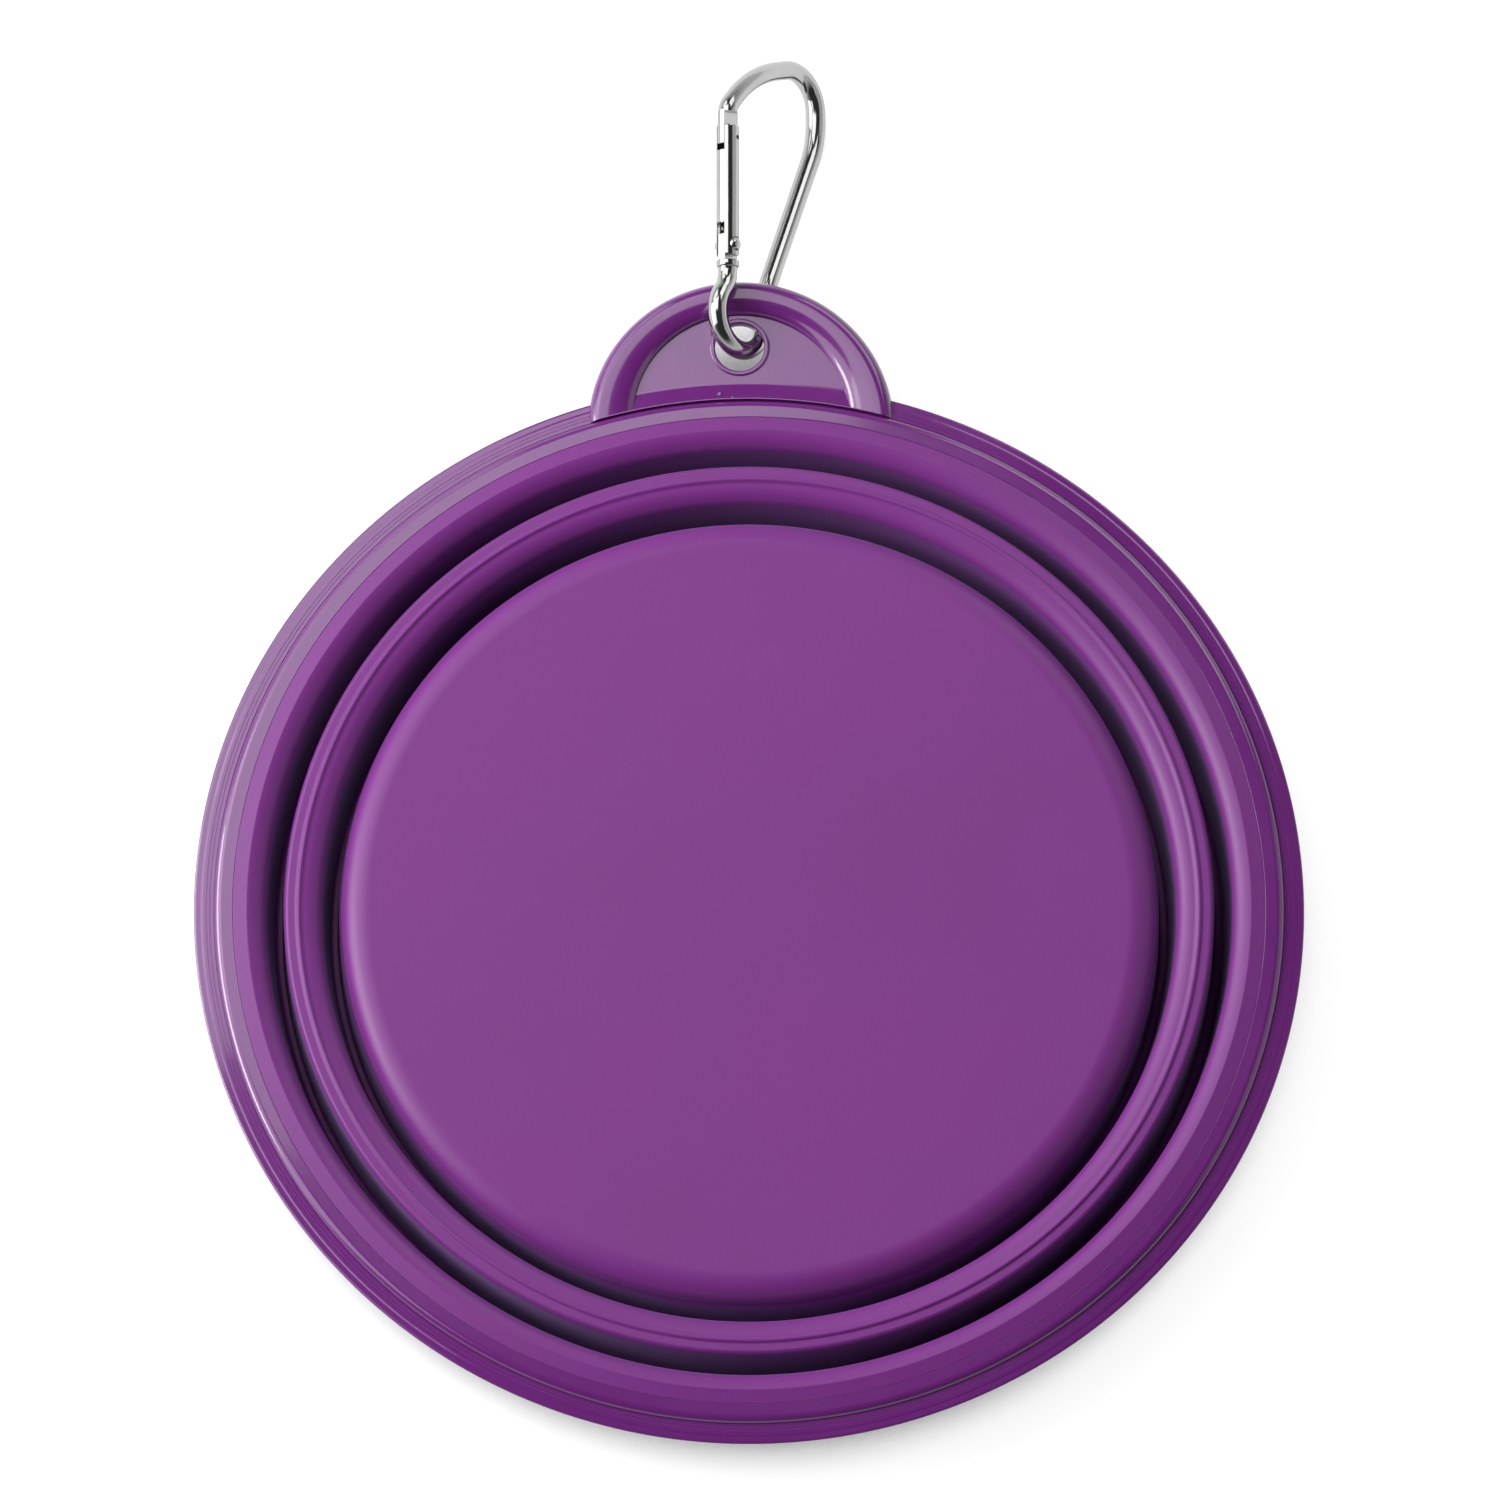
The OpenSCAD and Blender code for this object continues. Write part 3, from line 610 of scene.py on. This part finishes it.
def rim_frame():
    rim = combined(rim_ring(), tab_blank(), "UNION")
    rim = combined(rim, tab_recess(), "DIFFERENCE")
    under = cutter("under_plate", PLATE_R, high_z=PLATE_LOW_Z, centre=(0, PLATE_Y))
    hold = cutter("under_hold", FLANGE_R + 0.05, CUT_LOW_Z - 1)
    under = combined(under, hold, "DIFFERENCE")
    rim = combined(rim, under, "DIFFERENCE")
    middle_r = (HOLE_R + BOSS_R) / 2
    hole = cutter("hole", middle_r, steps=HOLE_STEPS, centre=(0, HOLE_Y))
    rim = combined(rim, hole, "DIFFERENCE")
    pieces = [rim, hole_boss()]
    for i in range(RIBS):
        low = (SHELF_R + RIB_INSET, -RIB_W / 2, SKIRT_Z + 0.7)
        rib = block("rib", low, (FLANGE_R - RIB_INSET, RIB_W / 2, SHELF_Z - 0.7))
        rib.matrix_world = Matrix.Rotation(2 * math.pi * (i + 0.5) / RIBS, 4, "Z")
        pieces.append(rib)
    pieces += [mould_mark("mark", *mark, MARK_RISE) for mark in MARKS]
    dress(joined("rim_frame_skin", pieces, 32), "rim_frame", "frame", RIM)


def clamp_ring():
    outer_r, round_r, step_r, inner_r = RABBET_R - 0.03, 85.25, CLAMP_R - 1.4, CLAMP_R - 3.0
    top_z, round_z, step_z, fall = 15.47, 15.4, 13.9, 1.1
    edge_w, edge_h = 0.07, 0.06
    outline = (
        [(inner_r, step_z), (step_r, step_z), (step_r, SHELF_Z), (outer_r, SHELF_Z)]
        + arc((round_r, round_z - fall), outer_r - round_r, fall, 0, 80, 20)
        + arc((inner_r + edge_w, top_z - edge_h), edge_w, edge_h, 60, 180, 5)
    )
    ring = joined("clamp_ring_skin", [turned("clamp", outline)], 40)
    dress(ring, "clamp_ring", "frame", RIM)


rim_frame()
clamp_ring()


# Clip: made flat, with u across and v up the gate, then laid in the tab's hole

CLIP_SIDE = 2.0
CLIP_BACK = 2.31
CLIP_Z = 16.35
CLIP_HEADING = math.radians(-0.93)
CLIP_LIFT = math.radians(3.5)
CLIP_TURN = math.radians(50)
CLIP_PLACE = (
    Matrix.Translation(Vector((-CLIP_SIDE, HOLE_Y - CLIP_BACK, CLIP_Z)) * MM)
    @ Matrix.Rotation(CLIP_HEADING, 4, "Z")
    @ Matrix.Rotation(CLIP_LIFT, 4, "X")
    @ Matrix.Rotation(CLIP_TURN, 4, "Y")
)
ROD_R = 1.6
GATE_R = 1.9
HALF_TANG = 0.7
HALF_SLOT = 0.8
NECK_V = 14.4
GATE_FOOT = 16.6
RIVET_V = 18.6
RIVET_R = 0.6
TANG_END = 20.25
SLOT_END = 22.2
BORE_R = 1.1
BORE_END = 28.55
HOOK_V = 35.4
LATCH_FOOT = 34.3
LATCH_U = 0.3
LATCH_V = 36.5
GATE_END = 38.6
NOSE_V = 40.9
# Half as wide as what cuts right through the gate
CUT_W = 3
# Bends from the hinge round to the nose: (radius, turn in degrees), or (length, 0) for a straight
LOW_BENDS = [(5.7, -39), (5.6, 207), (6.9, 0), (10.6, -13)]
TOP_BENDS = [(17.1, 32), (6.0, 98)]
NOSE_BENDS = [(22.5, 37), (2.4, 38)]
BEND_STEP = 0.45


def bend_line(bends):
    """Points along the middle of a rod that starts down from the gate's foot, with their headings."""
    u, v, heading = 0.0, NECK_V, math.radians(270)
    stops = [(u, v, heading)]
    for size, turn in bends:
        turn = math.radians(turn)
        length = abs(size * turn) if turn else size
        steps = max(4, math.ceil(length / BEND_STEP))
        for i in range(steps):
            middle = heading + turn / steps / 2
            chord = 2 * size * math.sin(abs(turn) / steps / 2) if turn else length / steps
            u, v, heading = u + chord * math.cos(middle), v + chord * math.sin(middle), heading + turn / steps
            stops.append((u, v, heading))
    return stops


def rod_line():
    """The whole rod's line, with two more straights of the lengths that bring its end to the nose."""
    u, v, _ = bend_line(LOW_BENDS + TOP_BENDS + NOSE_BENDS)[-1]
    back = bend_line(LOW_BENDS)[-1][2]
    brow = bend_line(LOW_BENDS + TOP_BENDS)[-1][2]
    gap_u, gap_v = -u, NOSE_V - v
    back_len = (gap_u * math.sin(brow) - gap_v * math.cos(brow)) / math.sin(brow - back)
    brow_len = (gap_v * math.cos(back) - gap_u * math.sin(back)) / math.sin(brow - back)
    return bend_line(LOW_BENDS + [(back_len, 0)] + TOP_BENDS + [(brow_len, 0)] + NOSE_BENDS)


def rod_sweep(sides=48):
    verts = []
    for u, v, heading in rod_line():
        for j in range(sides):
            a = 2 * math.pi * j / sides
            out, up = ROD_R * math.cos(a), ROD_R * math.sin(a)
            verts.append(((u - out * math.sin(heading)) * MM, (v + out * math.cos(heading)) * MM, up * MM))
    faces, ends = tube_faces(len(verts), sides)
    return mesh_object("rod", verts, faces + ends)


def up_gate(name, outline, steps=64):
    """A form turned about the gate's line."""
    piece = turned(name, outline, steps)
    piece.data.transform(Matrix.Rotation(-math.pi / 2, 4, "X"))
    return piece


def across_gate(name, u, v, radius, half_length=CUT_W):
    """A round bar across the gate."""
    return cutter(name, radius, -half_length, half_length, 48, (u, v))


def clip_piece(name, piece, node, body, material=CLIP, sharp_angle=30):
    """Lays a piece that was made flat in its place, and finishes it."""
    piece.matrix_world = CLIP_PLACE
    return dress(joined(name, [piece], sharp_angle), node, body, material)


def carabiner_body():
    body = rod_sweep()
    edge, neck_end = 0.12, NECK_V + 1.57
    neck = up_gate("neck", [(0, NECK_V - 0.4), (ROD_R - 0.05, NECK_V - 0.4), (ROD_R, NECK_V)]
                   + arc((ROD_R, NECK_V + 0.9), GATE_R - ROD_R, 0.5, -80, 0, 6)
                   + [(GATE_R, neck_end - edge), (GATE_R - edge, neck_end), (0, neck_end)])
    body = combined(body, neck, "UNION")
    tang = block("tang", (-ROD_R + 0.02, NECK_V + 1, -HALF_TANG), (ROD_R - 0.02, TANG_END, HALF_TANG))
    body = combined(body, tang, "UNION")
    shank = up_gate("shank", [(0, HOOK_V), (GATE_R - edge, HOOK_V), (GATE_R, HOOK_V + edge)]
                    + [(GATE_R, NOSE_V + 0.3), (0, NOSE_V + 0.3)])
    # What stays of the shank: the blade's back, the hook's lip and the tongue above the gate's end
    top_v, low_v, lip_v, tongue_u = NOSE_V + 0.1, HOOK_V - 0.4, HOOK_V + 0.6, 1.75
    keep = block("shank_keep", (-CUT_W, low_v, -HALF_TANG), (-0.5, top_v, HALF_TANG))
    lip = block("lip_keep", (-1, low_v, -HALF_TANG), (LATCH_U, lip_v, HALF_TANG))
    tongue = block("tongue_keep", (-1, GATE_END + 0.2, -HALF_TANG), (tongue_u, top_v, HALF_TANG))
    for more in (lip, tongue):
        keep = combined(keep, more, "UNION")
    body = combined(body, combined(shank, keep, "INTERSECT"), "UNION")
    body = combined(body, across_gate("rivet_hole", 0, RIVET_V, RIVET_R), "DIFFERENCE")
    clip_piece("carabiner_skin", body, "carabiner_body", "carabiner")


def carabiner_gate():
    edge, seat_z, seat_r, pin_hole_r, latch_hole_r = 0.25, 1.47, 1.2, 0.65, 0.4
    gate = up_gate("gate", [(0, GATE_FOOT)]
                   + arc((GATE_R - edge, GATE_FOOT + edge), edge, edge, -90, 0, 5)
                   + arc((GATE_R - edge, GATE_END - edge), edge, edge, 0, 90, 5)
                   + [(0, GATE_END)])
    corner = block("corner", (0, GATE_FOOT - 1, -CUT_W), (CUT_W, RIVET_V, CUT_W))
    corner_round = across_gate("corner_round", 0, RIVET_V, RIVET_V - GATE_FOOT, CUT_W + 1)
    cuts = [
        combined(corner, corner_round, "DIFFERENCE"),
        block("hinge_slot", (-CUT_W, GATE_FOOT - 1, -HALF_SLOT), (CUT_W, SLOT_END, HALF_SLOT)),
        up_gate("bore", [(0, SLOT_END - 1), (BORE_R, SLOT_END - 1), (BORE_R, BORE_END), (0, BORE_END)]),
        across_gate("pin_hole", 0, RIVET_V, pin_hole_r),
        block("latch_slot", (-CUT_W, LATCH_FOOT, -HALF_SLOT), (LATCH_U + 0.8, GATE_END + 1, HALF_SLOT)),
        across_gate("latch_hole", LATCH_U, LATCH_V, latch_hole_r),
    ]
    for side in (-1, 1):
        seat = cutter("seat", seat_r, seat_z, CUT_W, 48, (0, RIVET_V))
        seat.data.transform(Matrix.Scale(side, 4, (0, 0, 1)))
        if side < 0:
            seat.data.flip_normals()
        cuts.append(seat)
    for cut in cuts:
        gate = combined(gate, cut, "DIFFERENCE")
    clip_piece("gate_skin", gate, "carabiner_gate", "gate")


def hinge_rivet():
    head_z, head_r, dome_h = 1.52, 1.15, 0.83
    head = arc((0, head_z), head_r, dome_h, 0, 85, 10)
    outline = [(r, -h) for r, h in reversed(head)] + [(RIVET_R, -head_z), (RIVET_R, head_z)] + head
    end_z = head_z + dome_h
    rivet = turned("rivet", [(0, -end_z)] + outline + [(0, end_z)], 40, (0, RIVET_V))
    clip_piece("rivet_skin", rivet, "hinge_rivet", "carabiner", sharp_angle=50)


def gate_spring():
    """The coil in the gate's bore, which the plunger pushes together as the gate opens; here it is made at
    rest and rides with the gate.
    """
    turns, pitch, wire_r, coil_r = 6, 0.9, 0.175, 0.775
    start_v, end_v, push = 22.7, 28.45, 1.0
    steps, sides = 28, 10
    verts = []
    for i in range(turns * steps + 1):
        a = 2 * math.pi * i / steps
        for j in range(sides):
            b = 2 * math.pi * j / sides
            r = coil_r + wire_r * math.cos(b)
            v = start_v + wire_r + pitch * i / steps + wire_r * math.sin(b)
            verts.append((r * math.cos(a) * MM, v * MM, r * math.sin(a) * MM))
    faces, ends = tube_faces(len(verts), sides)
    coil = mesh_object("coil", verts, faces + ends)
    spring = clip_piece("spring_skin", coil, "gate_spring", "gate", STEEL, 60)
    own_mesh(spring)


carabiner_body()
carabiner_gate()
hinge_rivet()
gate_spring()


# Floor, lights and background

SHADE_REACH = 0.03
ROOM_LIGHT = 0.06


def seen_ray(nodes, links):
    """1 for rays from the eye, also by way of a reflection or glass, and 0 for those that light things."""
    path = nodes.new("ShaderNodeLightPath")
    total = path.outputs["Is Camera Ray"]
    for kind in ("Is Glossy Ray", "Is Transmission Ray"):
        most = nodes.new("ShaderNodeMath")
        most.operation = "MAXIMUM"
        links.new(total, most.inputs[0])
        links.new(path.outputs[kind], most.inputs[1])
        total = most.outputs[0]
    return total


def backdrop_material(name, colour, glow):
    """A matt surface with a glow that only the eye and reflections see: it shows white and keeps shadows."""
    material = bpy.data.materials.new(name)
    material.use_nodes = True
    nodes, links = material.node_tree.nodes, material.node_tree.links
    nodes.clear()
    output = nodes.new("ShaderNodeOutputMaterial")
    matt = nodes.new("ShaderNodeBsdfDiffuse")
    matt.inputs["Color"].default_value = (colour, colour, colour, 1)
    light = nodes.new("ShaderNodeEmission")
    near = nodes.new("ShaderNodeAmbientOcclusion")
    near.samples = 12
    near.inputs["Distance"].default_value = SHADE_REACH
    # Right under the bowl, where little of the sky is open, the glow goes out: this is painted shade, taken
    # from ambient occlusion
    dim = nodes.new("ShaderNodeMapRange")
    dim.inputs["From Min"].default_value = 0.3
    dim.inputs["From Max"].default_value = 0.52
    dim.inputs["To Min"].default_value = 0.03
    dim.inputs["To Max"].default_value = glow
    links.new(near.outputs["AO"], dim.inputs["Value"])
    links.new(dim.outputs["Result"], light.inputs["Strength"])
    both = nodes.new("ShaderNodeAddShader")
    links.new(matt.outputs[0], both.inputs[0])
    links.new(light.outputs[0], both.inputs[1])
    pick = nodes.new("ShaderNodeMixShader")
    links.new(seen_ray(nodes, links), pick.inputs["Fac"])
    links.new(matt.outputs[0], pick.inputs[1])
    links.new(both.outputs[0], pick.inputs[2])
    links.new(pick.outputs[0], output.inputs["Surface"])
    return material


def make_floor():
    """The ground; the unfolding bowl pushes it down, so that it stays under the lowest foot."""
    mesh = bpy.data.meshes.new("floor")
    side = 3.0
    corners = [(-side, -side, 0), (side, -side, 0), (side, side, 0), (-side, side, 0)]
    mesh.from_pydata(corners, [], [(0, 1, 2, 3)])
    mesh.materials.append(backdrop_material("floor", 0.38, 0.9))
    floor = bpy.data.objects.new("floor", mesh)
    bpy.context.scene.collection.objects.link(floor)
    gap = 0.0002
    floor.location.z = -gap
    for body, foot_z in (("middle", 0), ("floor", FLOOR_Z - PAN_FOOT_H)):
        under = floor.constraints.new("FLOOR")
        under.target = frame["bodies"][body]
        under.floor_location = "FLOOR_NEGATIVE_Z"
        under.offset = foot_z * MM - gap


def make_world():
    """A dim room; the eye and reflections see a backdrop that is white at the horizon and fades upwards."""
    world = bpy.data.worlds.new("world")
    bpy.context.scene.world = world
    world.use_nodes = True
    nodes, links = world.node_tree.nodes, world.node_tree.links
    nodes.clear()
    output = nodes.new("ShaderNodeOutputWorld")
    room = nodes.new("ShaderNodeBackground")
    room.inputs["Color"].default_value = (0.95, 0.95, 1.08, 1)
    room.inputs["Strength"].default_value = ROOM_LIGHT
    place = nodes.new("ShaderNodeSeparateXYZ")
    links.new(nodes.new("ShaderNodeTexCoord").outputs["Generated"], place.inputs[0])
    fade = nodes.new("ShaderNodeMapRange")
    fade.inputs["From Min"].default_value = 0.15
    fade.inputs["From Max"].default_value = 0.5
    fade.inputs["To Min"].default_value = 1.0
    fade.inputs["To Max"].default_value = ROOM_LIGHT
    links.new(place.outputs["Z"], fade.inputs["Value"])
    backdrop = nodes.new("ShaderNodeBackground")
    links.new(fade.outputs["Result"], backdrop.inputs["Strength"])
    pick = nodes.new("ShaderNodeMixShader")
    links.new(seen_ray(nodes, links), pick.inputs["Fac"])
    links.new(room.outputs[0], pick.inputs[1])
    links.new(backdrop.outputs[0], pick.inputs[2])
    links.new(pick.outputs[0], output.inputs["Surface"])


def softbox(name, place, aim, width, height, radiance):
    """A rectangular lamp; radiance is how bright it looks beside white, which is 1."""
    data = bpy.data.lights.new(name, "AREA")
    data.shape = "RECTANGLE"
    data.size = width
    data.size_y = height
    data.energy = radiance * math.pi * width * height
    lamp = bpy.data.objects.new(name, data)
    bpy.context.scene.collection.objects.link(lamp)
    lamp.location = place
    lamp.rotation_euler = (Vector(aim) - Vector(place)).to_track_quat("-Z", "Y").to_euler()


make_floor()
make_world()
# A large sheet overhead, two behind, one on each side and a small bright one at the left
softbox("overhead", (-0.4, 0.57, 1.1), (-0.4, 0.57, 0), 0.9, 0.66, 2.3)
softbox("back_left", (-0.7, 1.0, 0.78), (0, 0.12, 0), 0.8, 0.6, 2.0)
softbox("back_right", (0.6, 0.95, 0.78), (0, 0.12, 0), 0.7, 0.6, 2.0)
softbox("left_sheet", (-0.8, 0.1, 0.62), (0, 0.12, 0), 1.0, 1.1, 2.0)
softbox("left_key", (-1.15, 0.2, 0.75), (0, 0, 0), 0.8, 0.4, 9.0)
softbox("right_sheet", (0.95, 0.1, 0.6), (0, 0.12, 0), 0.8, 0.5, 0.6)

bpy.context.scene.view_settings.view_transform = "Standard"
